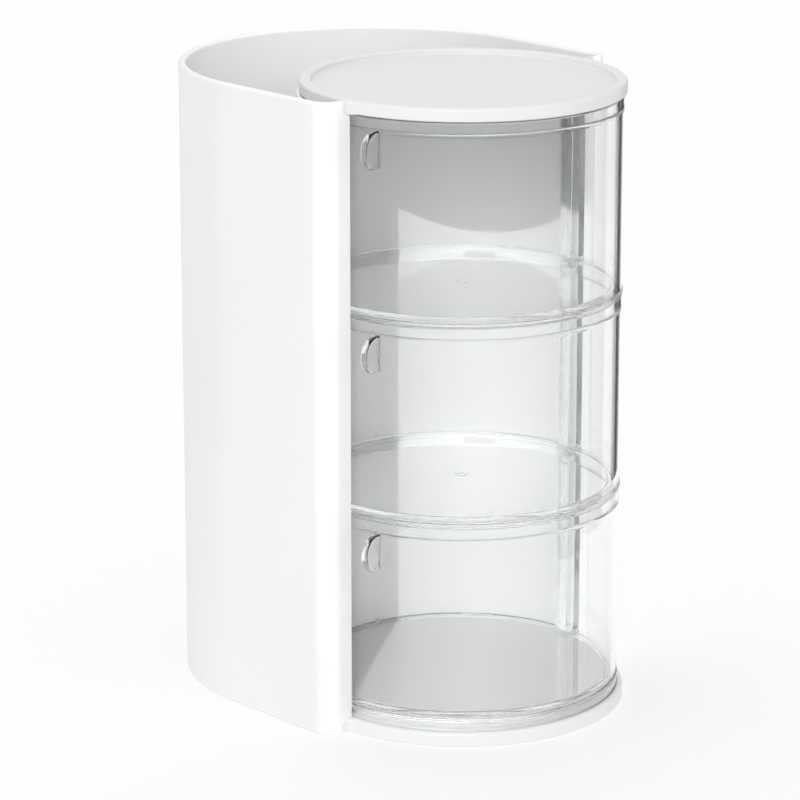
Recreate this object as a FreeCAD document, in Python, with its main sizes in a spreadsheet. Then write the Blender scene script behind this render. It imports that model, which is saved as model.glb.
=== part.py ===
"""Hair accessory organizer: a white U-shaped bin wrapped round a round tower of
three clear compartments, each closed by a clear curved door that turns about the
tower's upright axis. All sizes are in millimetres.

Every body is drawn about the tower axis, with -Y to the front and +Z up, and its
Placement then moves the axis so that the origin is the bottom centre of the object.
"""
import FreeCAD
import Part
import math
import os
import Sketcher

# Driving sizes, one value each.
SIZES = [
    # tower
    ("tier_pitch", 82.7),
    ("shelf_clearance", 0.5),
    ("shelf_thickness", 2.2),
    ("shelf_step", 2.3),
    ("riser_width", 2.2),
    ("flange_thickness", 2.1),
    ("band_clearance", 0.4),
    ("skirt_drop", 4.5),
    ("skirt_thickness", 1.7),
    ("gate_mark_radius", 2.6),
    ("gate_mark_height", 0.4),
    # clear ring under the lid, and the lid
    ("ring_shoulder_height", 5.0),
    ("ring_shoulder_width", 0.9),
    ("lid_clearance", 0.1),
    ("lid_wall", 1.5),
    ("lid_plate_thickness", 1.6),
    ("lid_recess_depth", 2.3),
    ("lid_rim_width", 4.8),
    ("lid_edge_radius", 0.9),
    # doors
    ("door_radius", 65.5),
    ("door_wall", 2.0),
    ("door_foot_gap", 0.3),
    ("door_head_gap", 0.4),
    ("door_first_angle", 88.5),
    ("door_span", 178.5),
    ("tongue_clearance", 0.3),
    ("tongue_thickness", 1.3),
    ("tongue_gap", 0.5),
    ("door_rim_thickness", 1.6),
    ("pull_angle", 12.4),
    ("pull_thickness", 3.0),
    ("pull_height", 15.3),
    ("pull_reach", 10.0),
    ("stile_depth", 6.5),
    ("stile_angle", 7.5),
    ("stile_foot_gap", 1.2),
    # rear wall of the tower, and the lugs that hold the clear pieces in it
    ("rear_wall_clearance", 0.3),
    ("rear_wall_thickness", 1.5),
    ("rear_wall_head_gap", 0.2),
    ("lug_reach", 0.7),
    ("lug_height", 3.0),
    ("lug_rise", 0.8),
    ("lug_angle", 12.0),
    ("lug_fan", 100.0),
    ("pocket_clearance", 0.2),
    # outer shell
    ("bin_side_gap", 9.2),
    ("shell_wall", 3.1),
    ("shell_rear_centre", 55.5),
    ("shell_front_reach", 5.2),
    ("shell_corner_radius", 8.0),
    ("shell_lid_gap", 0.1),
    ("shell_edge_radius", 1.2),
    # base
    ("ledge_width", 2.2),
    ("ledge_height", 6.0),
    ("ledge_edge_radius", 1.9),
    ("seat_depth", 1.4),
    ("seat_clearance", 0.2),
    ("platform_clearance", 0.3),
    ("bin_floor_thickness", 3.0),
    ("base_clearance", 0.1),
]

TIERS = 3
LUGS = 3

# Places and fits that follow from the driving sizes.
PLACES = [
    # shelf profile, heights from the foot of its skirt
    ("door_inner", "Sizes.door_radius - Sizes.door_wall"),
    ("shelf_radius", "door_inner - Sizes.shelf_clearance"),
    ("band_radius", "Sizes.door_radius + Sizes.band_clearance"),
    ("skirt_inner", "band_radius - Sizes.skirt_thickness"),
    ("riser_inner", "shelf_radius - Sizes.riser_width"),
    ("flange_top", "Sizes.skirt_drop + Sizes.flange_thickness"),
    ("shelf_top", "flange_top + Sizes.shelf_step"),
    ("shelf_underside", "shelf_top - Sizes.shelf_thickness"),
    ("gate_mark_foot", "shelf_underside - Sizes.gate_mark_height"),
    # heights of the tower
    ("seat_floor", "Sizes.ledge_height - Sizes.seat_depth"),
    ("ring_foot", "seat_floor + 3 * Sizes.tier_pitch"),
    ("lid_foot", "ring_foot + Sizes.ring_shoulder_height"),
    # ring and lid
    ("ring_spigot", "band_radius - Sizes.ring_shoulder_width"),
    ("lid_bore", "ring_spigot + Sizes.lid_clearance"),
    ("lid_radius", "lid_bore + Sizes.lid_wall"),
    ("lid_underside", "flange_top - Sizes.ring_shoulder_height"),
    ("lid_recess_floor", "lid_underside + Sizes.lid_plate_thickness"),
    ("lid_height", "lid_recess_floor + Sizes.lid_recess_depth"),
    ("lid_recess_radius", "lid_radius - Sizes.lid_rim_width"),
    ("total_height", "lid_foot + lid_height"),
    # door profile, heights from the top of the flange that it runs on
    ("door_foot", "Sizes.door_foot_gap"),
    ("door_top", "Sizes.tier_pitch - flange_top - Sizes.door_head_gap"),
    ("door_rim_foot", "door_top - Sizes.door_rim_thickness"),
    ("tongue_outer", "skirt_inner - Sizes.tongue_clearance"),
    ("tongue_inner", "tongue_outer - Sizes.tongue_thickness"),
    ("tongue_top", "door_top + Sizes.door_head_gap + Sizes.skirt_drop - Sizes.tongue_gap"),
    ("pull_foot", "door_top - Sizes.pull_height"),
    ("pull_centre_x", "Sizes.door_radius + Sizes.pull_reach - Sizes.pull_height / 2"),
    ("pull_centre_z", "door_top - Sizes.pull_height / 2"),
    ("wall_middle", "Sizes.door_radius - Sizes.door_wall / 2"),
    ("stile_inner", "door_inner - Sizes.stile_depth"),
    ("stile_foot", "Sizes.shelf_step + Sizes.stile_foot_gap"),
    ("door_turn", "-90 - Sizes.door_first_angle"),
    # rear wall and lugs
    ("rear_inner", "band_radius + Sizes.rear_wall_clearance"),
    ("rear_outer", "rear_inner + Sizes.rear_wall_thickness"),
    ("rear_height", "lid_foot - Sizes.rear_wall_head_gap - seat_floor"),
    ("lug_root", "band_radius - Sizes.skirt_thickness / 2"),
    ("lug_tip", "rear_inner + Sizes.lug_reach"),
    ("lug_head", "Sizes.lug_rise + Sizes.lug_height"),
    ("lug_turn", "90 - Sizes.lug_fan / 2 - Sizes.lug_angle / 2"),
    ("pocket_angle", "Sizes.lug_angle + 2 * pocket_swing"),
    ("pocket_swing", "Sizes.pocket_clearance / rear_inner * 180 / pi"),
    ("pocket_turn", "lug_turn - pocket_swing"),
    ("pocket_mouth", "rear_inner - Sizes.rear_wall_thickness"),
    ("pocket_bottom", "lug_tip + Sizes.pocket_clearance"),
    ("pocket_foot_0", "Sizes.lug_rise"),
    ("pocket_foot_1", "pocket_foot_0 + Sizes.tier_pitch"),
    ("pocket_foot_2", "pocket_foot_1 + Sizes.tier_pitch"),
    ("pocket_foot_3", "pocket_foot_2 + Sizes.tier_pitch"),
    ("pocket_head_0", "lug_head + Sizes.pocket_clearance"),
    ("pocket_head_1", "pocket_head_0 + Sizes.tier_pitch"),
    ("pocket_head_2", "pocket_head_1 + Sizes.tier_pitch"),
    ("pocket_head_3", "pocket_head_2 + Sizes.tier_pitch"),
    # shell outline
    ("shell_inner", "rear_outer + Sizes.bin_side_gap"),
    ("shell_half_width", "shell_inner + Sizes.shell_wall"),
    ("corner_x", "shell_half_width - Sizes.shell_corner_radius"),
    ("corner_y", "Sizes.shell_corner_radius - Sizes.shell_front_reach"),
    ("end_front", "-Sizes.shell_front_reach"),
    ("end_back", "Sizes.shell_wall - Sizes.shell_front_reach"),
    ("end_tip", "lid_radius + Sizes.shell_lid_gap"),
    ("end_tip_front", "sqrt(end_tip^2 - end_front^2)"),
    ("end_tip_back", "sqrt(end_tip^2 - end_back^2)"),
    ("rear_inner_x", "sqrt(rear_inner^2 - end_back^2)"),
    ("rear_outer_x", "sqrt(rear_outer^2 - end_back^2)"),
    # base
    ("seat_outer", "band_radius + Sizes.seat_clearance"),
    ("ledge_radius", "seat_outer + Sizes.ledge_width"),
    ("ledge_shoulder", "Sizes.ledge_height - Sizes.ledge_edge_radius"),
    ("ledge_crown", "ledge_radius - Sizes.ledge_edge_radius"),
    ("axis_y", "(ledge_radius - Sizes.shell_rear_centre - shell_half_width) / 2"),
    ("seat_inner", "skirt_inner - Sizes.seat_clearance"),
    ("platform_radius", "riser_inner - Sizes.platform_clearance"),
    ("platform_height", "seat_floor + gate_mark_foot - Sizes.platform_clearance"),
    ("step_outer", "ledge_radius + Sizes.base_clearance"),
    ("step_x_outer", "sqrt(step_outer^2 - end_back^2)"),
    ("step_x_inner", "sqrt(band_radius^2 - end_back^2)"),
    ("floor_half_width", "shell_inner - Sizes.base_clearance"),
    ("floor_front", "end_back + Sizes.base_clearance"),
    ("notch_front", "end_front - Sizes.base_clearance"),
    ("notch_tip", "end_tip_front - Sizes.base_clearance"),
    ("notch_side", "ledge_radius + Sizes.shell_wall"),
]

doc = FreeCAD.newDocument("organizer")


def make_sheet(name, rows, formula):
    """Write one row of the sheet for each size, with its name as alias."""
    sheet = doc.addObject("Spreadsheet::Sheet", name)
    for number, (alias, value) in enumerate(rows, start=1):
        cell = "B%d" % number
        sheet.set("A%d" % number, alias)
        sheet.set(cell, ("=%s" % value) if formula else str(value))
        sheet.setAlias(cell, alias)
    doc.recompute()
    return sheet


sizes = make_sheet("Sizes", SIZES, False)
places = make_sheet("Places", PLACES, True)


def sheet_of(alias):
    """The sheet that holds a size: the driving ones, or those worked out from them."""
    return sizes if alias in dict(SIZES) else places


def value_of(alias):
    """The number behind an alias; a leading minus turns its sign, and 0 is the axis."""
    if alias == 0:
        return 0.0
    if alias.startswith("-"):
        return -value_of(alias[1:])
    return float(sheet_of(alias).get(alias))


def expression_of(alias):
    """The expression that ties a property to an alias."""
    if alias.startswith("-"):
        return "-" + expression_of(alias[1:])
    return "%s.%s" % (sheet_of(alias).Name, alias)


def new_body(label):
    """An empty body, with its Label."""
    body = doc.addObject("PartDesign::Body", label)
    body.Label = label
    return body


def origin_feature(body, role):
    """One of the body's own origin planes or axes."""
    return next(item for item in body.Origin.OriginFeatures if item.Role == role)


def new_sketch(body, name, plane, lift=None, turn=None):
    """A sketch on an origin plane, lifted along its normal or turned about Z."""
    sketch = body.newObject("Sketcher::SketchObject", name)
    sketch.AttachmentSupport = [(origin_feature(body, plane), "")]
    sketch.MapMode = "FlatFace"
    if lift is not None:
        sketch.setExpression(".AttachmentOffset.Base.z", expression_of(lift))
    if turn is not None:
        sketch.AttachmentOffset = FreeCAD.Placement(
            FreeCAD.Vector(0, 0, 0), FreeCAD.Rotation(FreeCAD.Vector(0, 1, 0), 10))
        sketch.setExpression(".AttachmentOffset.Rotation.Angle", expression_of(turn))
    doc.recompute()
    return sketch


def pin(sketch, kind, axis, geometry, point, alias):
    """Hold one coordinate of a point at an alias, or on the axis."""
    if alias == 0:
        sketch.addConstraint(Sketcher.Constraint("PointOnObject", geometry, point, axis))
        return
    index = sketch.addConstraint(
        Sketcher.Constraint(kind, -1, 1, geometry, point, value_of(alias)))
    sketch.renameConstraint(index, "%s_%d_%d" % (kind, geometry, point))
    sketch.setExpression("Constraints[%d]" % index, expression_of(alias))


def draw_outline(sketch, corners):
    """Close an outline through its corners.

    A corner is (x, y) before a straight side. Before an arc it is
    (x, y, centre_x, centre_y, direction), where direction is 1 for an arc drawn
    counter-clockwise and -1 for one drawn clockwise.
    """
    first = sketch.GeometryCount
    starts = []
    for number, corner in enumerate(corners):
        here = FreeCAD.Vector(value_of(corner[0]), value_of(corner[1]), 0)
        after = corners[(number + 1) % len(corners)]
        there = FreeCAD.Vector(value_of(after[0]), value_of(after[1]), 0)
        if len(corner) == 2:
            sketch.addGeometry(Part.LineSegment(here, there), False)
            starts.append((1, 2))
            continue
        centre = FreeCAD.Vector(value_of(corner[2]), value_of(corner[3]), 0)
        circle = Part.Circle(centre, FreeCAD.Vector(0, 0, 1), (here - centre).Length)
        ends = (here, there) if corner[4] > 0 else (there, here)
        angles = [math.atan2(end.y - centre.y, end.x - centre.x) for end in ends]
        sketch.addGeometry(Part.ArcOfCircle(circle, angles[0], angles[1]), False)
        starts.append((1, 2) if corner[4] > 0 else (2, 1))
    count = len(corners)
    for number, corner in enumerate(corners):
        geometry = first + number
        following = first + (number + 1) % count
        sketch.addConstraint(Sketcher.Constraint(
            "Coincident", geometry, starts[number][1],
            following, starts[(number + 1) % count][0]))
        pin(sketch, "DistanceX", -2, geometry, starts[number][0], corner[0])
        pin(sketch, "DistanceY", -1, geometry, starts[number][0], corner[1])
        if len(corner) == 5:
            after = corners[(number + 1) % count]
            run = abs(value_of(after[0]) - value_of(corner[0]))
            rise = abs(value_of(after[1]) - value_of(corner[1]))
            if run > rise:
                pin(sketch, "DistanceY", -1, geometry, 3, corner[3])
            else:
                pin(sketch, "DistanceX", -2, geometry, 3, corner[2])
    return sketch


def bind(feature, **properties):
    """Tie properties of a feature to aliases."""
    for name, alias in properties.items():
        feature.setExpression(name, expression_of(alias))


def grow(body, feature_type, name, sketch, **properties):
    """Add a sketched feature to a body, make it the tip and bring it up to date."""
    feature = body.newObject(feature_type, name)
    feature.Profile = sketch
    if feature_type in ("PartDesign::Revolution", "PartDesign::Groove"):
        feature.ReferenceAxis = (sketch, ["V_Axis"])
        feature.Angle = 360
    bind(feature, **properties)
    body.Tip = feature
    doc.recompute()
    return feature


def turn_inward(body, feature, grows, before):
    """Reverse a feature whose volume shows that it points the wrong way."""
    gain = body.Shape.Volume - before
    if (gain > 1e-3) != grows or abs(gain) < 1e-3:
        feature.Reversed = not feature.Reversed
        doc.recompute()


def fan_out(body, feature, name, angle, copies):
    """Repeat a feature about the tower axis."""
    pattern = body.newObject("PartDesign::PolarPattern", name)
    pattern.Originals = [feature]
    pattern.Axis = (origin_feature(body, "Z_Axis"), [""])
    pattern.Occurrences = copies
    bind(pattern, Angle=angle)
    body.Tip = pattern
    doc.recompute()
    return pattern


def edges_where(shape, wanted):
    """The names of the edges that a test picks out."""
    return ["Edge%d" % number for number, edge in enumerate(shape.Edges, start=1) if wanted(edge)]


def level(edge, height):
    """Whether an edge lies level at a height."""
    box = edge.BoundBox
    return abs(box.ZMin - height) < 1e-4 and abs(box.ZMax - height) < 1e-4


def circular(edge, radius):
    """Whether an edge is part of a circle of a radius about the tower axis."""
    curve = edge.Curve
    if not isinstance(curve, Part.Circle) or abs(curve.Radius - radius) > 1e-4:
        return False
    return math.hypot(curve.Center.x, curve.Center.y) < 1e-4


def round_edges(body, name, radius, wanted):
    """Round the edges of a body that a test picks out."""
    base = body.Tip
    fillet = body.newObject("PartDesign::Fillet", name)
    fillet.Base = (base, edges_where(base.Shape, wanted))
    bind(fillet, Radius=radius)
    body.Tip = fillet
    doc.recompute()
    return fillet


def stand(body, height=None, turn=None):
    """Stand a finished body on the tower axis at its height."""
    body.Placement = FreeCAD.Placement(
        FreeCAD.Vector(0, 0, 0), FreeCAD.Rotation(FreeCAD.Vector(0, 0, 1), 0 if turn is None else 10))
    body.setExpression(".Placement.Base.y", expression_of("axis_y"))
    if height is not None:
        body.setExpression(".Placement.Base.z", height)
    if turn is not None:
        body.setExpression(".Placement.Rotation.Angle", expression_of(turn))
    doc.recompute()


def add_lugs(body):
    """Three lugs that reach from the skirt into the pockets of the rear wall."""
    before = body.Shape.Volume
    sketch = draw_outline(new_sketch(body, "lug_sketch", "XZ_Plane", turn="lug_turn"), [
        ("lug_root", "lug_rise"),
        ("lug_tip", "lug_rise"),
        ("lug_tip", "lug_head"),
        ("lug_root", "lug_head"),
    ])
    lug = grow(body, "PartDesign::Revolution", "lug", sketch, Angle="lug_angle")
    turn_inward(body, lug, True, before)
    return fan_out(body, lug, "lugs", "lug_fan", LUGS)


def make_shelf(label, tier):
    """A clear disc shelf with a stepped flange and a skirt that hides the door's tongue."""
    body = new_body(label)
    sketch = draw_outline(new_sketch(body, "section", "XZ_Plane"), [
        (0, "shelf_top"),
        (0, "gate_mark_foot"),
        ("gate_mark_radius", "gate_mark_foot"),
        ("gate_mark_radius", "shelf_underside"),
        ("riser_inner", "shelf_underside"),
        ("riser_inner", "skirt_drop"),
        ("skirt_inner", "skirt_drop"),
        ("skirt_inner", 0),
        ("band_radius", 0),
        ("band_radius", "flange_top"),
        ("shelf_radius", "flange_top"),
        ("shelf_radius", "shelf_top"),
    ])
    grow(body, "PartDesign::Revolution", "disc", sketch)
    add_lugs(body)
    stand(body, "Places.seat_floor + %d * Sizes.tier_pitch" % tier)
    return body


def make_top_ring():
    """The clear ring under the lid, with the same skirt as the shelves."""
    body = new_body("top_ring")
    sketch = draw_outline(new_sketch(body, "section", "XZ_Plane"), [
        ("skirt_inner", 0),
        ("band_radius", 0),
        ("band_radius", "ring_shoulder_height"),
        ("ring_spigot", "ring_shoulder_height"),
        ("ring_spigot", "flange_top"),
        ("riser_inner", "flange_top"),
        ("riser_inner", "skirt_drop"),
        ("skirt_inner", "skirt_drop"),
    ])
    grow(body, "PartDesign::Revolution", "ring", sketch)
    add_lugs(body)
    stand(body, "Places.ring_foot")
    return body


def make_lid():
    """The white lid: a cap over the ring, with a shallow tray in its top."""
    body = new_body("lid")
    sketch = draw_outline(new_sketch(body, "section", "XZ_Plane"), [
        (0, "lid_underside"),
        ("lid_bore", "lid_underside"),
        ("lid_bore", 0),
        ("lid_radius", 0),
        ("lid_radius", "lid_height"),
        ("lid_recess_radius", "lid_height"),
        ("lid_recess_radius", "lid_recess_floor"),
        (0, "lid_recess_floor"),
    ])
    grow(body, "PartDesign::Revolution", "cap", sketch)
    rim = value_of("lid_height")
    outer = value_of("lid_radius")
    recess = value_of("lid_recess_radius")
    round_edges(body, "soft_edges", "lid_edge_radius", lambda edge: (
        level(edge, rim) or (level(edge, 0) and circular(edge, outer))
        or (circular(edge, recess) and not level(edge, rim))))
    stand(body, "Places.lid_foot")
    return body


def make_door(label, tier):
    """A clear curved door: wall, inward rim with tongue, finger pull and end stile."""
    body = new_body(label)
    wall_sketch = draw_outline(new_sketch(body, "wall_section", "XZ_Plane"), [
        ("door_inner", "door_foot"),
        ("door_radius", "door_foot"),
        ("door_radius", "door_top"),
        ("tongue_outer", "door_top"),
        ("tongue_outer", "tongue_top"),
        ("tongue_inner", "tongue_top"),
        ("tongue_inner", "door_rim_foot"),
        ("door_inner", "door_rim_foot"),
    ])
    wall = grow(body, "PartDesign::Revolution", "wall", wall_sketch, Angle="door_span")
    if body.Shape.CenterOfMass.y < 0:
        wall.Reversed = True
        doc.recompute()
    before = body.Shape.Volume
    stile_sketch = draw_outline(new_sketch(body, "stile_section", "XZ_Plane", turn="door_span"), [
        ("stile_inner", "stile_foot"),
        ("wall_middle", "stile_foot"),
        ("wall_middle", "door_rim_foot"),
        ("tongue_inner", "door_rim_foot"),
        ("tongue_inner", "tongue_top"),
        ("stile_inner", "tongue_top"),
    ])
    stile = grow(body, "PartDesign::Revolution", "stile", stile_sketch, Angle="stile_angle")
    stile.Reversed = not wall.Reversed
    doc.recompute()
    pull_sketch = draw_outline(new_sketch(body, "pull_section", "XZ_Plane", turn="pull_angle"), [
        ("wall_middle", "door_top"),
        ("wall_middle", "pull_foot"),
        ("pull_centre_x", "pull_foot", "pull_centre_x", "pull_centre_z", 1),
        ("pull_centre_x", "door_top"),
    ])
    pull = grow(body, "PartDesign::Pad", "pull", pull_sketch, Length="pull_thickness")
    pull.Reversed = True
    doc.recompute()
    print(label, "wall", round(before, 1), "with stile and pull", round(body.Shape.Volume, 1))
    stand(body, "Places.seat_floor + Places.flange_top + %d * Sizes.tier_pitch" % tier, "door_turn")
    return body


def make_shell():
    """The white U-shaped shell, whose front ends turn in to meet the rear wall."""
    body = new_body("outer_shell")
    sketch = draw_outline(new_sketch(body, "plan", "XY_Plane"), [
        ("shell_half_width", "corner_y"),
        ("shell_half_width", "shell_rear_centre", 0, "shell_rear_centre", 1),
        ("-shell_half_width", "shell_rear_centre"),
        ("-shell_half_width", "corner_y", "-corner_x", "corner_y", 1),
        ("-corner_x", "end_front"),
        ("-end_tip_front", "end_front"),
        ("-end_tip_back", "end_back"),
        ("-corner_x", "end_back", "-corner_x", "corner_y", -1),
        ("-shell_inner", "corner_y"),
        ("-shell_inner", "shell_rear_centre", 0, "shell_rear_centre", -1),
        ("shell_inner", "shell_rear_centre"),
        ("shell_inner", "corner_y", "corner_x", "corner_y", -1),
        ("corner_x", "end_back"),
        ("end_tip_back", "end_back"),
        ("end_tip_front", "end_front"),
        ("corner_x", "end_front", "corner_x", "corner_y", 1),
    ])
    grow(body, "PartDesign::Pad", "wall", sketch, Length="total_height")
    top = value_of("total_height")
    round_edges(body, "rounded_lip", "shell_edge_radius", lambda edge: level(edge, top))
    stand(body)
    return body


def make_rear_wall():
    """The white half-round wall between the tower and the bin, pocketed for the lugs."""
    body = new_body("rear_wall")
    plan = draw_outline(new_sketch(body, "plan", "XY_Plane"), [
        ("rear_outer_x", "end_back", 0, 0, 1),
        ("-rear_outer_x", "end_back"),
        ("-rear_inner_x", "end_back", 0, 0, -1),
        ("rear_inner_x", "end_back"),
    ])
    grow(body, "PartDesign::Pad", "wall", plan, Length="rear_height")
    before = body.Shape.Volume
    pocket_sketch = new_sketch(body, "pocket_section", "XZ_Plane", turn="pocket_turn")
    for tier in range(TIERS + 1):
        draw_outline(pocket_sketch, [
            ("pocket_mouth", "pocket_foot_%d" % tier),
            ("pocket_bottom", "pocket_foot_%d" % tier),
            ("pocket_bottom", "pocket_head_%d" % tier),
            ("pocket_mouth", "pocket_head_%d" % tier),
        ])
    pockets = grow(body, "PartDesign::Groove", "pockets", pocket_sketch, Angle="pocket_angle")
    turn_inward(body, pockets, False, before)
    fan_out(body, pockets, "pocket_fan", "lug_fan", LUGS)
    print("rear_wall before and after its pockets", round(before, 1), round(body.Shape.Volume, 1))
    stand(body, "Places.seat_floor")
    return body


def make_base():
    """The white base: the bin's floor, the round plinth, and its platform in the tray."""
    body = new_body("base")
    floor_sketch = draw_outline(new_sketch(body, "floor_plan", "XY_Plane"), [
        ("floor_half_width", "corner_y"),
        ("floor_half_width", "shell_rear_centre", 0, "shell_rear_centre", 1),
        ("-floor_half_width", "shell_rear_centre"),
        ("-floor_half_width", "corner_y", "-corner_x", "corner_y", 1),
        ("-corner_x", "floor_front"),
        ("corner_x", "floor_front", "corner_x", "corner_y", 1),
    ])
    grow(body, "PartDesign::Pad", "bin_floor", floor_sketch, Length="bin_floor_thickness")
    plinth_sketch = draw_outline(new_sketch(body, "plinth_section", "XZ_Plane"), [
        (0, 0),
        ("ledge_radius", 0),
        ("ledge_radius", "ledge_shoulder", "ledge_crown", "ledge_shoulder", 1),
        ("ledge_crown", "ledge_height"),
        ("seat_outer", "ledge_height"),
        ("seat_outer", "seat_floor"),
        ("seat_inner", "seat_floor"),
        ("seat_inner", "ledge_height"),
        ("platform_radius", "ledge_height"),
        ("platform_radius", "platform_height"),
        (0, "platform_height"),
    ])
    grow(body, "PartDesign::Revolution", "plinth", plinth_sketch)
    before = body.Shape.Volume
    step_sketch = draw_outline(new_sketch(body, "step_plan", "XY_Plane", lift="ledge_height"), [
        ("step_x_outer", "end_back", 0, 0, 1),
        ("-step_x_outer", "end_back"),
        ("-step_x_inner", "end_back", 0, 0, -1),
        ("step_x_inner", "end_back"),
    ])
    step = grow(body, "PartDesign::Pocket", "rear_wall_step", step_sketch, Length="seat_depth")
    turn_inward(body, step, False, before)
    before = body.Shape.Volume
    notch_sketch = new_sketch(body, "notch_plan", "XY_Plane")
    for side in ("", "-"):
        draw_outline(notch_sketch, [
            (side + "notch_tip", "notch_front"),
            (side + "notch_side", "notch_front"),
            (side + "notch_side", "floor_front"),
            (side + "notch_tip", "floor_front"),
        ])
    notch = grow(body, "PartDesign::Pocket", "end_notches", notch_sketch, Length="ledge_height")
    turn_inward(body, notch, False, before)
    print("base before and after its notches", round(before, 1), round(body.Shape.Volume, 1))
    stand(body)
    return body


def check_and_write(bodies):
    """Stop on any failed object or bad shape, then write one file for each piece."""
    doc.recompute()
    failed = [item.Name for item in doc.Objects if {"Invalid", "Error"} & set(item.State)]
    if failed:
        raise RuntimeError("failed objects: %s" % ", ".join(failed))
    for body in bodies:
        if body.Shape.isNull() or not body.Shape.isValid() or len(body.Shape.Solids) != 1:
            raise RuntimeError("bad shape: %s" % body.Label)
    os.makedirs("parts", exist_ok=True)
    for body in bodies:
        body.Shape.exportStep("parts/%s.step" % body.Label)
        box = body.Shape.BoundBox
        print("%-14s %9.0f mm3  x %.1f..%.1f  y %.1f..%.1f  z %.1f..%.1f" % (
            body.Label, body.Shape.Volume, box.XMin, box.XMax, box.YMin, box.YMax,
            box.ZMin, box.ZMax))


pieces = [
    make_base(),
    make_shell(),
    make_rear_wall(),
    make_shelf("tray_bottom", 0),
    make_shelf("shelf_lower", 1),
    make_shelf("shelf_upper", 2),
    make_top_ring(),
    make_lid(),
    make_door("door_lower", 0),
    make_door("door_middle", 1),
    make_door("door_upper", 2),
]
check_and_write(pieces)
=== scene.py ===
"""Looks of the hair accessory organizer: finished meshes in place of the plain CAD
solids, moulded white and clear plastic, a white studio and the photograph's camera.

Lengths are millimetres measured from the tower's axis, x to the right, y to the back
and z up from the table, until place() turns them into metres in the frame.
"""

import math

import bmesh
import bpy
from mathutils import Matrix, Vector


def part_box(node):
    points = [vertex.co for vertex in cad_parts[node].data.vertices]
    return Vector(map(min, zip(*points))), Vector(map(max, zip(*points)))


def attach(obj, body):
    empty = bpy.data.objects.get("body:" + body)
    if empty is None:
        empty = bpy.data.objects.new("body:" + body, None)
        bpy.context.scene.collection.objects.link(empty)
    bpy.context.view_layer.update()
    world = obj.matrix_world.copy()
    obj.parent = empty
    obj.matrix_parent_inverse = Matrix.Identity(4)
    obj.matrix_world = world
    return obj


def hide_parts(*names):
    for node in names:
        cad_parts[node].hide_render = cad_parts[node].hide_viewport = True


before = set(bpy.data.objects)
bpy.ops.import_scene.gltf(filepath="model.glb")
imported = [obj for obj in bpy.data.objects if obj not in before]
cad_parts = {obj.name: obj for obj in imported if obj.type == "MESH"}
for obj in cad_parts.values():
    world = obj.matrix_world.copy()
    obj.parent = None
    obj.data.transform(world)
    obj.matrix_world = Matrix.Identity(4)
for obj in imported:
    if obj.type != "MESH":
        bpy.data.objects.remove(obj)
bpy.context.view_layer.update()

MM = 0.001

lid_low, lid_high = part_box("lid")
shelf_low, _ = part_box("shelf_lower")
tray_low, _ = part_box("tray_bottom")
ring_low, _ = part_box("top_ring")
shell_low, shell_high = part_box("outer_shell")
_, wall_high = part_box("rear_wall")
base_low, base_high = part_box("base")

AXIS_Y = (lid_low.y + lid_high.y) / 2

# Heights and radii that the frame gives.
LID_RADIUS = (lid_high.x - lid_low.x) / 2 / MM
LID_FOOT = lid_low.z / MM
LID_TOP = lid_high.z / MM
TRAY_FOOT = tray_low.z / MM
TIER_PITCH = (shelf_low.z - tray_low.z) / MM
RING_FOOT = ring_low.z / MM
SHELL_HALF_WIDTH = shell_high.x / MM
SHELL_REAR = (shell_high.y - AXIS_Y) / MM
SHELL_FRONT = (shell_low.y - AXIS_Y) / MM
REAR_OUTER = wall_high.x / MM
REAR_WALL = 1.5
REAR_INNER = REAR_OUTER - REAR_WALL
REAR_TOP = wall_high.z / MM
LEDGE_RADIUS = (AXIS_Y - base_low.y) / MM
PLATFORM_TOP = base_high.z / MM

# Wall thicknesses and steps of the mouldings.
SHELL_WALL = 3.1
SHELL_CORNER = 8.0
SHELL_LID_GAP = 0.1
SHELF_RADIUS = 63.0
SHELF_THICKNESS = 2.2
SHELF_STEP = 2.3
RISER_WIDTH = 2.2
FLANGE_THICKNESS = 2.1
BAND_RADIUS = 65.9
SKIRT_DROP = 4.5
GATE_MARK = 0.4
NO_MARK = 0
GATE_DIMPLE = 1.5
GATE_INNER = 1.8
GATE_OUTER = 2.4
GATE_EDGE = 2.7
SKIRT_THICKNESS = 1.7
RING_SHOULDER_WIDTH = 0.9
LID_CLEARANCE = 0.1
LID_BORE = BAND_RADIUS - RING_SHOULDER_WIDTH + LID_CLEARANCE
LID_PLATE = 1.6
LID_RIM_WIDTH = 4.8
SEAT_DEPTH = 1.4
SEAT_CLEARANCE = 0.2
LEDGE_HEIGHT = TRAY_FOOT + SEAT_DEPTH
PLATFORM_CLEARANCE = 0.3
BIN_FLOOR = 3.0
DOOR_RADIUS = 65.5
DOOR_WALL = 2.0
DOOR_FOOT_GAP = 0.3
DOOR_HEAD_GAP = 0.4
DOOR_START = -178.5
DOOR_SPAN = 178.5
PULL_ANGLE = 12.4
TONGUE_CLEARANCE = 0.3
TONGUE_THICKNESS = 1.3
TONGUE_GAP = 0.5
DOOR_RIM = 1.6
PULL_THICKNESS = 3.0
PULL_HEIGHT = 15.3
PULL_REACH = 10.0
PULL_EDGE = 1.1
STILE_DEPTH = 6.5
STILE_ANGLE = 7.5
STILE_FOOT_GAP = 1.2
LUG_RISE = 0.8
LUG_HEIGHT = 3.0
LUG_ANGLE = 12.0
LUG_FAN = 50.0
LUG_ANGLES = (90 - LUG_FAN, 90, 90 + LUG_FAN)
LUG_REACH = 0.7
WEB_RADIUS = 4.0

# Roundings of the white pieces' main edges.
LID_EDGE = 1.3
LEDGE_EDGE = 1.9
SHELL_LIP = 1.45

# How far pieces that are joined into one run into each other.
JOIN_DEPTH = 0.05
NOTCH_HEIGHT = 20

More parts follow.
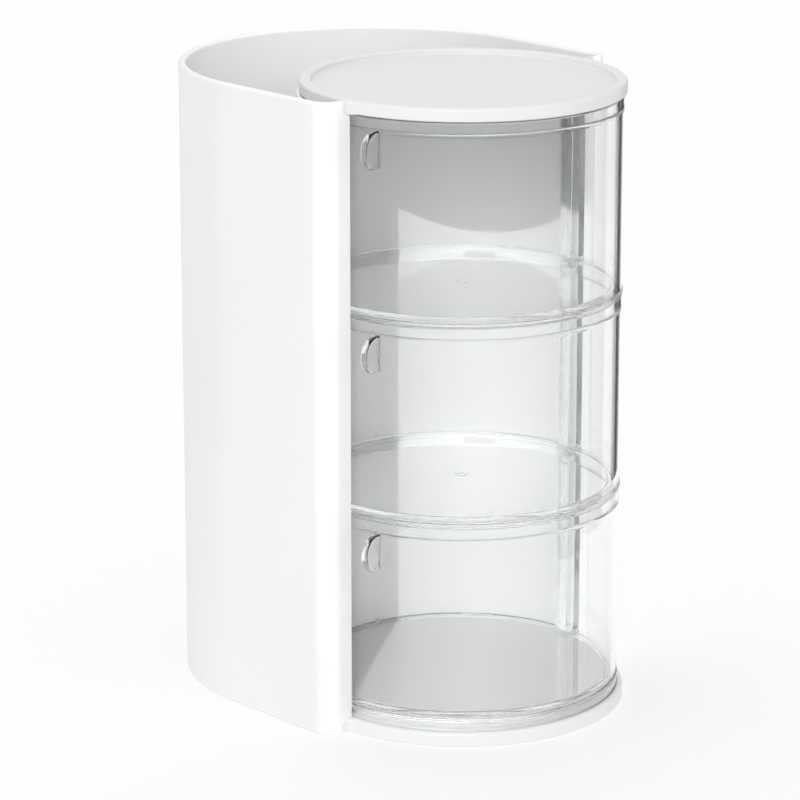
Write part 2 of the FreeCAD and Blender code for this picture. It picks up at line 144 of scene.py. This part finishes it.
# The photograph's camera, about the tower's axis.
IMAGE_SIDE = 800
FOCAL_PIXELS = 3829.4
SENSOR_MM = 36.0
CAMERA_TURN = 42.63
CAMERA_PITCH = 15.63
CAMERA_SIDE = -25.64
CAMERA_BACK = 1528.05
CAMERA_ABOVE_LID = 291.58

# Grey cards beside the object: name, angle from the camera, distance, width and tone.
CARDS = [
    ("card_right_front", 77, 0.28, 0.12, 0.03),
    ("card_right", 102, 0.30, 0.12, 0.35),
    ("card_right_back", 140, 0.35, 0.12, 0.05),
    ("card_left", -100, 0.50, 0.25, 0.03),
]
CARD_HEIGHT = 0.5

# Lights: name, angle from the front, elevation, distance, size and power.
KEY_LIGHT = ("key", -52.8, 30.2, 5, 0.05, 72)
FILL_LIGHT = ("fill", -8, 30, 2.5, 1.0, 16)
WORLD_STRENGTH = 0.9
LIGHT_BOUNCES = 48

# How finely round forms are divided.
TURN_STEPS = 256
EDGE_STEPS = 7
BEND_STEPS = 6
WEB_STEPS = 12
CORNER_STEPS = 12
SIDE_STEPS = 12
REAR_STEPS = 144
PULL_STEPS = 40

# Tones of the white mouldings, all one white plastic: the rear wall's lighter inner white is
# painted light and the lid's darker white is painted shade, so that each piece looks as bright
# as in the photograph.
WHITE_TONE = 0.785
INNER_WHITE_PAINTED_LIGHT_TONE = 0.905
LID_WHITE_PAINTED_SHADE_TONE = 0.75


def place(x, y, z):
    """A point in metres in the frame, from millimetres about the tower's axis."""
    return Vector((x * MM, y * MM + AXIS_Y, z * MM))


def add_camera():
    """The camera at the photograph's angle and focal length."""
    data = bpy.data.cameras.new("camera")
    data.sensor_width = SENSOR_MM
    data.lens = FOCAL_PIXELS / IMAGE_SIDE * SENSOR_MM
    data.clip_start = 0.05
    data.clip_end = 50
    camera = bpy.data.objects.new("camera", data)
    bpy.context.scene.collection.objects.link(camera)
    turn = math.radians(CAMERA_TURN)
    x = CAMERA_SIDE * math.cos(turn) - CAMERA_BACK * math.sin(turn)
    y = -CAMERA_SIDE * math.sin(turn) - CAMERA_BACK * math.cos(turn)
    camera.location = place(x, y, LID_TOP + CAMERA_ABOVE_LID)
    camera.rotation_euler = (math.radians(90 - CAMERA_PITCH), 0, -turn)
    bpy.context.scene.camera = camera


def soften(corners, steps=5):
    """Round the corners of a closed outline. A corner is (u, v, radius)."""
    outline = []
    count = len(corners)
    for index, (u, v, radius) in enumerate(corners):
        here = Vector((u, v))
        if radius == 0:
            outline.append(here)
            continue
        back = (Vector(corners[index - 1][:2]) - here).normalized()
        on = (Vector(corners[(index + 1) % count][:2]) - here).normalized()
        half = back.angle(on) / 2
        centre = here + (back + on).normalized() * radius / math.sin(half)
        first = here + back * radius / math.tan(half) - centre
        last = here + on * radius / math.tan(half) - centre
        start = math.atan2(first.y, first.x)
        turn = (math.atan2(last.y, last.x) - start + math.pi) % (2 * math.pi) - math.pi
        for step in range(steps + 1):
            angle = start + turn * step / steps
            outline.append(centre + radius * Vector((math.cos(angle), math.sin(angle))))
    return outline


def finish_mesh(name, mesh, sharp=35):
    """Turn a bmesh into an object with smooth shading that keeps its sharp edges."""
    bmesh.ops.remove_doubles(mesh, verts=mesh.verts, dist=1e-7)
    loose = [edge for edge in mesh.edges if not edge.link_faces]
    bmesh.ops.delete(mesh, geom=loose, context="EDGES")
    bmesh.ops.recalc_face_normals(mesh, faces=mesh.faces)
    data = bpy.data.meshes.new(name)
    mesh.to_mesh(data)
    mesh.free()
    return dress_mesh(name, data, sharp)


def dress_mesh(name, data, sharp=35):
    """An object for a mesh, smooth except at its sharp edges."""
    data.polygons.foreach_set("use_smooth", [True] * len(data.polygons))
    data.set_sharp_from_angle(angle=math.radians(sharp))
    piece = bpy.data.objects.new(name, data)
    bpy.context.scene.collection.objects.link(piece)
    weighted = piece.modifiers.new("weighted_normals", "WEIGHTED_NORMAL")
    weighted.keep_sharp = True
    return piece


def lathe_mesh(outline, start=0.0, sweep=360.0, steps=TURN_STEPS):
    """A bmesh of an outline of (radius, height) turned about the tower's axis."""
    mesh = bmesh.new()
    whole = sweep >= 360
    rings = []
    for step in range(steps if whole else steps + 1):
        angle = math.radians(start + sweep * step / steps)
        rings.append([
            mesh.verts.new(place(r * math.cos(angle), r * math.sin(angle), z))
            for r, z in outline])
    join_rings(mesh, rings, whole)
    return mesh


def join_rings(mesh, rings, whole):
    """Skin a row of closed rings, with a cap at each end unless the row is a loop."""
    count = len(rings[0])
    for index in range(len(rings) if whole else len(rings) - 1):
        here = rings[index]
        there = rings[(index + 1) % len(rings)]
        for corner in range(count):
            after = (corner + 1) % count
            mesh.faces.new((here[corner], here[after], there[after], there[corner]))
    if not whole:
        mesh.faces.new(rings[0])
        mesh.faces.new(rings[-1])


def lathe(name, outline, start=0.0, sweep=360.0, steps=TURN_STEPS):
    """An object from an outline turned about the tower's axis."""
    return finish_mesh(name, lathe_mesh(outline, start, sweep, steps))


def combine(name, body, others, operation):
    """The union or difference of one object and others, as a new plain object."""
    for other in others:
        cut = body.modifiers.new("combine", "BOOLEAN")
        cut.operation = operation
        cut.solver = "EXACT"
        cut.object = other
    body.modifiers.remove(body.modifiers["weighted_normals"])
    graph = bpy.context.evaluated_depsgraph_get()
    data = bpy.data.meshes.new_from_object(body.evaluated_get(graph))
    for item in [body, *others]:
        bpy.data.objects.remove(item)
    data.name = name
    return dress_mesh(name, data)


def new_material(name):
    """A node material, its shader and its node tree."""
    material = bpy.data.materials.new(name)
    material.use_nodes = True
    tree = material.node_tree
    return material, tree.nodes["Principled BSDF"], tree


def add_noise(tree, scale, detail):
    """A noise texture in object space."""
    coordinates = tree.nodes.new("ShaderNodeTexCoord")
    noise = tree.nodes.new("ShaderNodeTexNoise")
    noise.inputs["Scale"].default_value = scale
    noise.inputs["Detail"].default_value = detail
    tree.links.new(coordinates.outputs["Object"], noise.inputs["Vector"])
    return noise


def remap(tree, source, low, high):
    """A value from 0 to 1 spread from low to high."""
    node = tree.nodes.new("ShaderNodeMapRange")
    node.inputs["To Min"].default_value = low
    node.inputs["To Max"].default_value = high
    tree.links.new(source, node.inputs["Value"])
    return node.outputs["Result"]


def add_bump(tree, shader, height, strength, distance):
    """A bump from a height value."""
    bump = tree.nodes.new("ShaderNodeBump")
    bump.inputs["Strength"].default_value = strength
    bump.inputs["Distance"].default_value = distance
    tree.links.new(height, bump.inputs["Height"])
    tree.links.new(bump.outputs["Normal"], shader.inputs["Normal"])


def white_plastic(name, tone):
    """Satin white moulded plastic: fine grain, faint uneven sheen and tint."""
    material, shader, tree = new_material(name)
    tint = add_noise(tree, 9.0, 2.0)
    ramp = tree.nodes.new("ShaderNodeValToRGB")
    ramp.color_ramp.elements[0].position = 0.3
    ramp.color_ramp.elements[0].color = (tone - 0.01, tone - 0.007, tone + 0.003, 1)
    ramp.color_ramp.elements[1].position = 0.7
    ramp.color_ramp.elements[1].color = (tone + 0.01, tone + 0.013, tone + 0.022, 1)
    tree.links.new(tint.outputs["Fac"], ramp.inputs["Fac"])
    tree.links.new(ramp.outputs["Color"], shader.inputs["Base Color"])
    sheen = add_noise(tree, 60.0, 3.0)
    tree.links.new(remap(tree, sheen.outputs["Fac"], 0.34, 0.42), shader.inputs["Roughness"])
    grain = add_noise(tree, 2600.0, 2.0)
    add_bump(tree, shader, grain.outputs["Fac"], 0.12, 0.00005)
    shader.inputs["IOR"].default_value = 1.5
    return material


def clear_plastic():
    """Clear polished plastic with a faint flow waviness left by the mould."""
    material, shader, tree = new_material("clear_plastic")
    shader.inputs["Base Color"].default_value = (0.985, 0.99, 0.99, 1)
    shader.inputs["Transmission Weight"].default_value = 1.0
    shader.inputs["IOR"].default_value = 1.49
    polish = add_noise(tree, 40.0, 2.0)
    tree.links.new(remap(tree, polish.outputs["Fac"], 0.0, 0.006), shader.inputs["Roughness"])
    flow = add_noise(tree, 9.0, 1.0)
    add_bump(tree, shader, flow.outputs["Fac"], 0.01, 0.0002)
    return material


def floor_material():
    """A plain white studio floor."""
    material, shader, tree = new_material("floor")
    shader.inputs["Base Color"].default_value = (0.55, 0.55, 0.55, 1)
    shader.inputs["Roughness"].default_value = 0.9
    shader.inputs["Specular IOR Level"].default_value = 0.0
    shader.inputs["Emission Color"].default_value = (1, 1, 1, 1)
    shader.inputs["Emission Strength"].default_value = 0.5
    return material


def card_material(name, tone):
    """Matt grey card."""
    material, shader, tree = new_material(name)
    shader.inputs["Base Color"].default_value = (tone, tone, tone, 1)
    shader.inputs["Roughness"].default_value = 0.9
    return material


def settle(piece, node, body, material):
    """Put a finished piece in a CAD node's place, on its body, in its finish."""
    piece.data.materials.clear()
    piece.data.materials.append(material)
    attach(piece, body)
    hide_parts(node)
    return piece


def shelf_outline(foot, mark):
    """Section of a shelf: disc, step, flange, skirt and, with a mark height, the gate mark."""
    flange_top = foot + SKIRT_DROP + FLANGE_THICKNESS
    top = flange_top + SHELF_STEP
    under = top - SHELF_THICKNESS
    riser = SHELF_RADIUS - RISER_WIDTH
    skirt = BAND_RADIUS - SKIRT_THICKNESS
    gate = [
        (0, under - mark / 4, 0),
        (GATE_DIMPLE, under - mark / 4, 0),
        (GATE_INNER, under - mark, mark / 4),
        (GATE_OUTER, under - mark, mark / 4),
        (GATE_EDGE, under, mark / 4),
    ]
    return soften([(0, top, 0)] + (gate if mark else [(0, under, 0)]) + [
        (riser, under, 0.4),
        (riser, foot + SKIRT_DROP, 0.4),
        (skirt, foot + SKIRT_DROP, 0.3),
        (skirt, foot, 0.35),
        (BAND_RADIUS, foot, 0.35),
        (BAND_RADIUS, flange_top, 0.45),
        (SHELF_RADIUS, flange_top, 0.3),
        (SHELF_RADIUS, top, 0.55),
    ])


def lug(foot, angle):
    """One lug that reaches from the skirt into the rear wall."""
    outline = soften([
        (BAND_RADIUS - SKIRT_THICKNESS / 2, foot + LUG_RISE, 0),
        (REAR_INNER + LUG_REACH, foot + LUG_RISE, 0.3),
        (REAR_INNER + LUG_REACH, foot + LUG_RISE + LUG_HEIGHT, 0.3),
        (BAND_RADIUS - SKIRT_THICKNESS / 2, foot + LUG_RISE + LUG_HEIGHT, 0),
    ], 2)
    return lathe("lug", outline, angle - LUG_ANGLE / 2, LUG_ANGLE, 12)


def make_shelf(node, foot, mark, material):
    """A clear shelf with its lugs."""
    disc = lathe("disc", shelf_outline(foot, mark))
    lugs = [lug(foot, angle) for angle in LUG_ANGLES]
    shelf = combine(node + "_finished", disc, lugs, "UNION")
    return settle(shelf, node, "root", material)


def make_top_ring(material):
    """The clear ring under the lid, with its lugs."""
    flange_top = RING_FOOT + SKIRT_DROP + FLANGE_THICKNESS
    riser = SHELF_RADIUS - RISER_WIDTH
    skirt = BAND_RADIUS - SKIRT_THICKNESS
    spigot = BAND_RADIUS - RING_SHOULDER_WIDTH
    ring = lathe("ring", soften([
        (skirt, RING_FOOT, 0.35),
        (BAND_RADIUS, RING_FOOT, 0.35),
        (BAND_RADIUS, LID_FOOT, 0.2),
        (spigot, LID_FOOT, 0.2),
        (spigot, flange_top, 0.3),
        (riser, flange_top, 0.3),
        (riser, RING_FOOT + SKIRT_DROP, 0.4),
        (skirt, RING_FOOT + SKIRT_DROP, 0.3),
    ]))
    lugs = [lug(RING_FOOT, angle) for angle in LUG_ANGLES]
    return settle(combine("top_ring_finished", ring, lugs, "UNION"),
                  "top_ring", "root", material)


def make_web(side, radius, foot, top, edge):
    """The hollow fillet where one end of the shell runs into a round rim of a radius."""
    reach = math.sqrt((radius + WEB_RADIUS) ** 2 - (WEB_RADIUS - SHELL_FRONT) ** 2)
    middle = Vector((reach, SHELL_FRONT - WEB_RADIUS))
    first = math.atan2(-middle.y, -middle.x)
    stations = [(0, foot), (0, top - edge)]
    for step in range(1, BEND_STEPS + 1):
        bend = math.pi / 2 * step / BEND_STEPS
        stations.append((edge * (1 - math.cos(bend)), top - edge * (1 - math.sin(bend))))
    mesh = bmesh.new()
    rings = []
    for inset, z in stations:
        outline = [Vector((middle.x + 1, SHELL_FRONT + edge + 0.1)),
                   Vector((radius - edge - 1, SHELL_FRONT + edge + 0.1)),
                   Vector((radius - edge - 1, middle.y + 0.5))]
        for step in range(WEB_STEPS + 1):
            angle = first + (math.pi / 2 - first) * step / WEB_STEPS
            out = Vector((math.cos(angle), math.sin(angle)))
            outline.append(middle + (WEB_RADIUS + inset) * out)
        rings.append([mesh.verts.new(place(side * p.x, p.y, z)) for p in outline])
    join_rings(mesh, rings, False)
    return finish_mesh("web", mesh)


def make_lid(material):
    """The white lid with its rounded rim and shallow recess."""
    under = RING_FOOT + SKIRT_DROP + FLANGE_THICKNESS
    floor = under + LID_PLATE
    recess = LID_RADIUS - LID_RIM_WIDTH
    lid = lathe("lid_finished", soften([
        (0, under, 0),
        (LID_BORE, under, 0.3),
        (LID_BORE, LID_FOOT, 0.3),
        (LID_RADIUS, LID_FOOT, 0.8),
        (LID_RADIUS, LID_TOP, LID_EDGE),
        (recess, LID_TOP, 0.9),
        (recess, floor, 0.9),
        (0, floor, 0),
    ], EDGE_STEPS))
    webs = [make_web(side, LID_RADIUS, LID_FOOT, LID_TOP, LID_EDGE) for side in (1, -1)]
    lid = combine("lid_finished", lid, webs, "UNION")
    return settle(lid, "lid", "root", material)


def make_rear_wall(material):
    """The white half-round wall that the lugs reach into."""
    start = math.degrees(math.asin((SHELL_FRONT + SHELL_WALL) / REAR_OUTER))
    wall = lathe("rear_wall_finished", soften([
        (REAR_INNER, TRAY_FOOT, 0),
        (REAR_OUTER, TRAY_FOOT, 0),
        (REAR_OUTER, REAR_TOP, 0.5),
        (REAR_INNER, REAR_TOP, 0.4),
    ], 3), start, 180 - 2 * start, 200)
    return settle(wall, "rear_wall", "root", material)


def shell_tip():
    """How far from the middle the shell's ends stop, just clear of the lid."""
    return math.sqrt((LID_RADIUS + SHELL_LID_GAP) ** 2 - SHELL_FRONT ** 2)


def shell_path():
    """Centre line of the shell's wall, as (point, outward normal) from end to end."""
    half = SHELL_WALL / 2
    side = SHELL_HALF_WIDTH - half
    front = SHELL_FRONT + half
    corner = Vector((SHELL_HALF_WIDTH - SHELL_CORNER, SHELL_FRONT + SHELL_CORNER))
    centre = Vector((0, SHELL_REAR - SHELL_HALF_WIDTH))
    path = [(Vector((shell_tip(), front)), Vector((0, -1)))]
    for step in range(CORNER_STEPS + 1):
        angle = math.radians(-90 + 90 * step / CORNER_STEPS)
        out = Vector((math.cos(angle), math.sin(angle)))
        path.append((corner + out * (SHELL_CORNER - half), out))
    for step in range(1, SIDE_STEPS):
        y = corner.y + (centre.y - corner.y) * step / SIDE_STEPS
        path.append((Vector((side, y)), Vector((1, 0))))
    mirrored = [(Vector((-p.x, p.y)), Vector((-n.x, n.y))) for p, n in path]
    for step in range(REAR_STEPS + 1):
        angle = math.radians(180 * step / REAR_STEPS)
        out = Vector((math.cos(angle), math.sin(angle)))
        path.append((centre + out * side, out))
    return path + mirrored[::-1]


def make_shell(material):
    """The white U-shaped shell with its rounded lip."""
    half = SHELL_WALL / 2
    section = soften([
        (half, 0, 0.6),
        (half, LID_TOP, SHELL_LIP),
        (-half, LID_TOP, SHELL_LIP),
        (-half, 0, 0.3),
    ], EDGE_STEPS)
    mesh = bmesh.new()
    rings = []
    for point, out in shell_path():
        rings.append([
            mesh.verts.new(place(point.x + out.x * offset, point.y + out.y * offset, z))
            for offset, z in section])
    join_rings(mesh, rings, False)
    return settle(finish_mesh("outer_shell_finished", mesh), "outer_shell", "root",
                  material)


def make_base(material):
    """The white base: plinth with ledge and platform, and the floor of the bin."""
    seat_outer = BAND_RADIUS + SEAT_CLEARANCE
    seat_inner = BAND_RADIUS - SKIRT_THICKNESS - SEAT_CLEARANCE
    seat = LEDGE_HEIGHT - SEAT_DEPTH
    platform = SHELF_RADIUS - RISER_WIDTH - PLATFORM_CLEARANCE
    plinth = lathe("plinth", soften([
        (0, 0, 0),
        (LEDGE_RADIUS, 0, 0.7),
        (LEDGE_RADIUS, LEDGE_HEIGHT, LEDGE_EDGE),
        (seat_outer, LEDGE_HEIGHT, 0.2),
        (seat_outer, seat, 0),
        (seat_inner, seat, 0),
        (seat_inner, LEDGE_HEIGHT, 0.3),
        (platform, LEDGE_HEIGHT, 0),
        (platform, PLATFORM_TOP, 0.4),
        (0, PLATFORM_TOP, 0),
    ], EDGE_STEPS))
    mesh = bmesh.new()
    low = []
    high = []
    for point, out in shell_path():
        edge = point - out * (SHELL_WALL / 2 + JOIN_DEPTH)
        low.append(mesh.verts.new(place(edge.x, edge.y, 0)))
        high.append(mesh.verts.new(place(edge.x, edge.y, BIN_FLOOR)))
    join_rings(mesh, [low, high], False)
    floor = finish_mesh("floor", mesh)
    step_start = math.degrees(math.asin((SHELL_FRONT + SHELL_WALL) / BAND_RADIUS))
    step = lathe("step", [
        (BAND_RADIUS, seat),
        (LEDGE_RADIUS + 1, seat),
        (LEDGE_RADIUS + 1, LEDGE_HEIGHT + 1),
        (BAND_RADIUS, LEDGE_HEIGHT + 1),
    ], step_start, 180 - 2 * step_start, 128)
    plinth = combine("plinth", plinth, [step], "DIFFERENCE")
    plinth = combine("plinth", plinth, [end_notch(1), end_notch(-1)], "DIFFERENCE")
    webs = [make_web(side, LEDGE_RADIUS, 0, LEDGE_HEIGHT, LEDGE_EDGE) for side in (1, -1)]
    return settle(combine("base_finished", plinth, [floor, *webs], "UNION"),
                  "base", "root", material)


def end_notch(side):
    """The block cut from the plinth for one end of the shell."""
    mesh = bmesh.new()
    bmesh.ops.create_cube(mesh, size=1)
    tip = shell_tip() - 0.1
    width = LEDGE_RADIUS + 1 - tip
    depth = SHELL_WALL + 0.2
    bmesh.ops.scale(mesh, vec=(width * MM, depth * MM, NOTCH_HEIGHT * MM), verts=mesh.verts)
    centre = place(side * (tip + width / 2), SHELL_FRONT + SHELL_WALL / 2, 0)
    bmesh.ops.translate(mesh, vec=centre, verts=mesh.verts)
    return finish_mesh("end_notch", mesh)


def pull_mesh(top):
    """The D-shaped finger pull, a rounded fin that stands out from the leading end."""
    radius = PULL_HEIGHT / 2
    centre_r = DOOR_RADIUS + PULL_REACH - radius
    centre_z = top - radius
    root = DOOR_RADIUS - DOOR_WALL / 2
    angle = math.radians(DOOR_START + PULL_ANGLE)
    out = Vector((math.cos(angle), math.sin(angle)))
    along = Vector((-out.y, out.x))
    stations = []
    for step in range(BEND_STEPS + 1):
        bend = math.pi / 2 * step / BEND_STEPS
        stations.append((PULL_EDGE * (1 - math.cos(bend)), PULL_EDGE * (1 - math.sin(bend))))
    stations += [(PULL_THICKNESS - depth, inset) for depth, inset in stations[::-1]]
    mesh = bmesh.new()
    rings = []
    for depth, inset in stations:
        reach = radius - inset
        outline = [(root, -reach)]
        for step in range(PULL_STEPS + 1):
            bend = math.pi * (step / PULL_STEPS - 0.5)
            outline.append((centre_r + reach * math.cos(bend), reach * math.sin(bend)))
        outline.append((root, reach))
        ring = []
        for r, rise in outline:
            flat = out * r + along * depth
            ring.append(mesh.verts.new(place(flat.x, flat.y, centre_z + rise)))
        rings.append(ring)
    join_rings(mesh, rings, False)
    return mesh


def make_door(node, body, tier, material):
    """A clear door: curved wall, inward rim with its tongue, pull and end stile."""
    flange_top = TRAY_FOOT + tier * TIER_PITCH + SKIRT_DROP + FLANGE_THICKNESS
    next_foot = TRAY_FOOT + (tier + 1) * TIER_PITCH
    foot = flange_top + DOOR_FOOT_GAP
    top = next_foot - DOOR_HEAD_GAP
    inner = DOOR_RADIUS - DOOR_WALL
    tongue_outer = BAND_RADIUS - SKIRT_THICKNESS - TONGUE_CLEARANCE
    tongue_inner = tongue_outer - TONGUE_THICKNESS
    tongue_top = next_foot + SKIRT_DROP - TONGUE_GAP
    wall = lathe("wall", soften([
        (inner, foot, 0.3),
        (DOOR_RADIUS, foot, 0.4),
        (DOOR_RADIUS, top, 1.2),
        (tongue_outer, top, 0.2),
        (tongue_outer, tongue_top, 0.3),
        (tongue_inner, tongue_top, 0.3),
        (tongue_inner, top, 0.3),
        (inner, top - DOOR_RIM, 0.8),
    ], 6), DOOR_START, DOOR_SPAN, 200)
    pull = finish_mesh("pull", pull_mesh(top))
    stile_foot = flange_top + SHELF_STEP + STILE_FOOT_GAP
    stile = lathe("stile", soften([
        (inner - STILE_DEPTH, stile_foot, 0.5),
        (DOOR_RADIUS - DOOR_WALL / 2, stile_foot, 0),
        (DOOR_RADIUS - DOOR_WALL / 2, top - 0.5, 0),
        (tongue_outer - TONGUE_THICKNESS / 2, top - 0.5, 0),
        (tongue_outer - TONGUE_THICKNESS / 2, tongue_top - 0.2, 0),
        (inner - STILE_DEPTH, tongue_top - 0.2, 0.5),
    ], 3), DOOR_START + DOOR_SPAN - STILE_ANGLE, STILE_ANGLE - 0.05, 8)
    door = combine(node + "_finished", wall, [pull, stile], "UNION")
    return settle(door, node, body, material)


def add_floor(material):
    """A wide white floor, which isn't part of the object."""
    bpy.ops.mesh.primitive_plane_add(size=12, location=(0, 0, 0))
    floor = bpy.context.object
    floor.name = "studio_floor"
    floor.data.materials.append(material)


def add_world():
    """An even white studio all round."""
    world = bpy.data.worlds.new("studio")
    bpy.context.scene.world = world
    world.use_nodes = True
    background = world.node_tree.nodes["Background"]
    background.inputs["Color"].default_value = (1, 1, 1, 1)
    background.inputs["Strength"].default_value = WORLD_STRENGTH


def add_card(name, azimuth, distance, width, height, material):
    """An upright card beside the object, which draws dark edges in the clear plastic."""
    a = math.radians(azimuth)
    bpy.ops.mesh.primitive_plane_add(size=1)
    card = bpy.context.object
    card.name = name
    card.scale = (width, height, 1)
    card.location = place(0, 0, 0) + Vector((math.sin(a), -math.cos(a), 0)) * distance
    card.location.z = height / 2
    card.rotation_euler = (math.radians(90), 0, a)
    card.data.materials.append(material)
    card.visible_camera = False
    card.visible_diffuse = False
    card.visible_shadow = False


def add_area_light(name, azimuth, elevation, distance, size, power, lit):
    """A round area light aimed at the middle of the tower, for a collection of pieces."""
    target = place(0, 0, LID_TOP / 2)
    a = math.radians(azimuth)
    e = math.radians(elevation)
    back = Vector((math.sin(a) * math.cos(e), -math.cos(a) * math.cos(e), math.sin(e)))
    data = bpy.data.lights.new(name, "AREA")
    data.shape = "DISK"
    data.size = size
    data.energy = power
    light = bpy.data.objects.new(name, data)
    bpy.context.scene.collection.objects.link(light)
    light.location = target + back * distance
    light.rotation_euler = back.to_track_quat("Z", "Y").to_euler()
    light.light_linking.receiver_collection = lit


add_camera()

white = white_plastic("white_plastic", WHITE_TONE)
# A lighter copy of the white plastic, painted light for the rear wall.
inner_white_painted_light = white_plastic("inner_white_painted_light_plastic", INNER_WHITE_PAINTED_LIGHT_TONE)
# A darker copy of the white plastic, painted shade for the lid.
lid_white_painted_shade = white_plastic("lid_white_painted_shade_plastic", LID_WHITE_PAINTED_SHADE_TONE)
clear = clear_plastic()

finished = [
    make_base(white),
    make_shell(white),
    make_rear_wall(inner_white_painted_light),
    make_lid(lid_white_painted_shade),
    make_shelf("tray_bottom", TRAY_FOOT, NO_MARK, clear),
    make_shelf("shelf_lower", TRAY_FOOT + TIER_PITCH, GATE_MARK, clear),
    make_shelf("shelf_upper", TRAY_FOOT + 2 * TIER_PITCH, GATE_MARK, clear),
    make_top_ring(clear),
    make_door("door_lower", "lower_door", 0, clear),
    make_door("door_middle", "middle_door", 1, clear),
    make_door("door_upper", "upper_door", 2, clear),
]

lit = bpy.data.collections.new("lit_pieces")
bpy.context.scene.collection.children.link(lit)
for piece in finished:
    lit.objects.link(piece)
    if piece.data.materials[0] == clear:
        piece.visible_shadow = False  # lets the key light into the compartments

shell_only = bpy.data.collections.new("shell_only")
bpy.context.scene.collection.children.link(shell_only)
shell_only.objects.link(finished[1])

add_floor(floor_material())
add_world()
add_area_light(*KEY_LIGHT, lit)
add_area_light(*FILL_LIGHT, shell_only)
for name, azimuth, distance, width, tone in CARDS:
    card = card_material(name, tone)
    add_card(name, azimuth - CAMERA_TURN, distance, width, CARD_HEIGHT, card)

bpy.context.scene.view_settings.view_transform = "Standard"
cycles = bpy.context.scene.cycles
cycles.max_bounces = LIGHT_BOUNCES
cycles.glossy_bounces = LIGHT_BOUNCES
cycles.transmission_bounces = LIGHT_BOUNCES
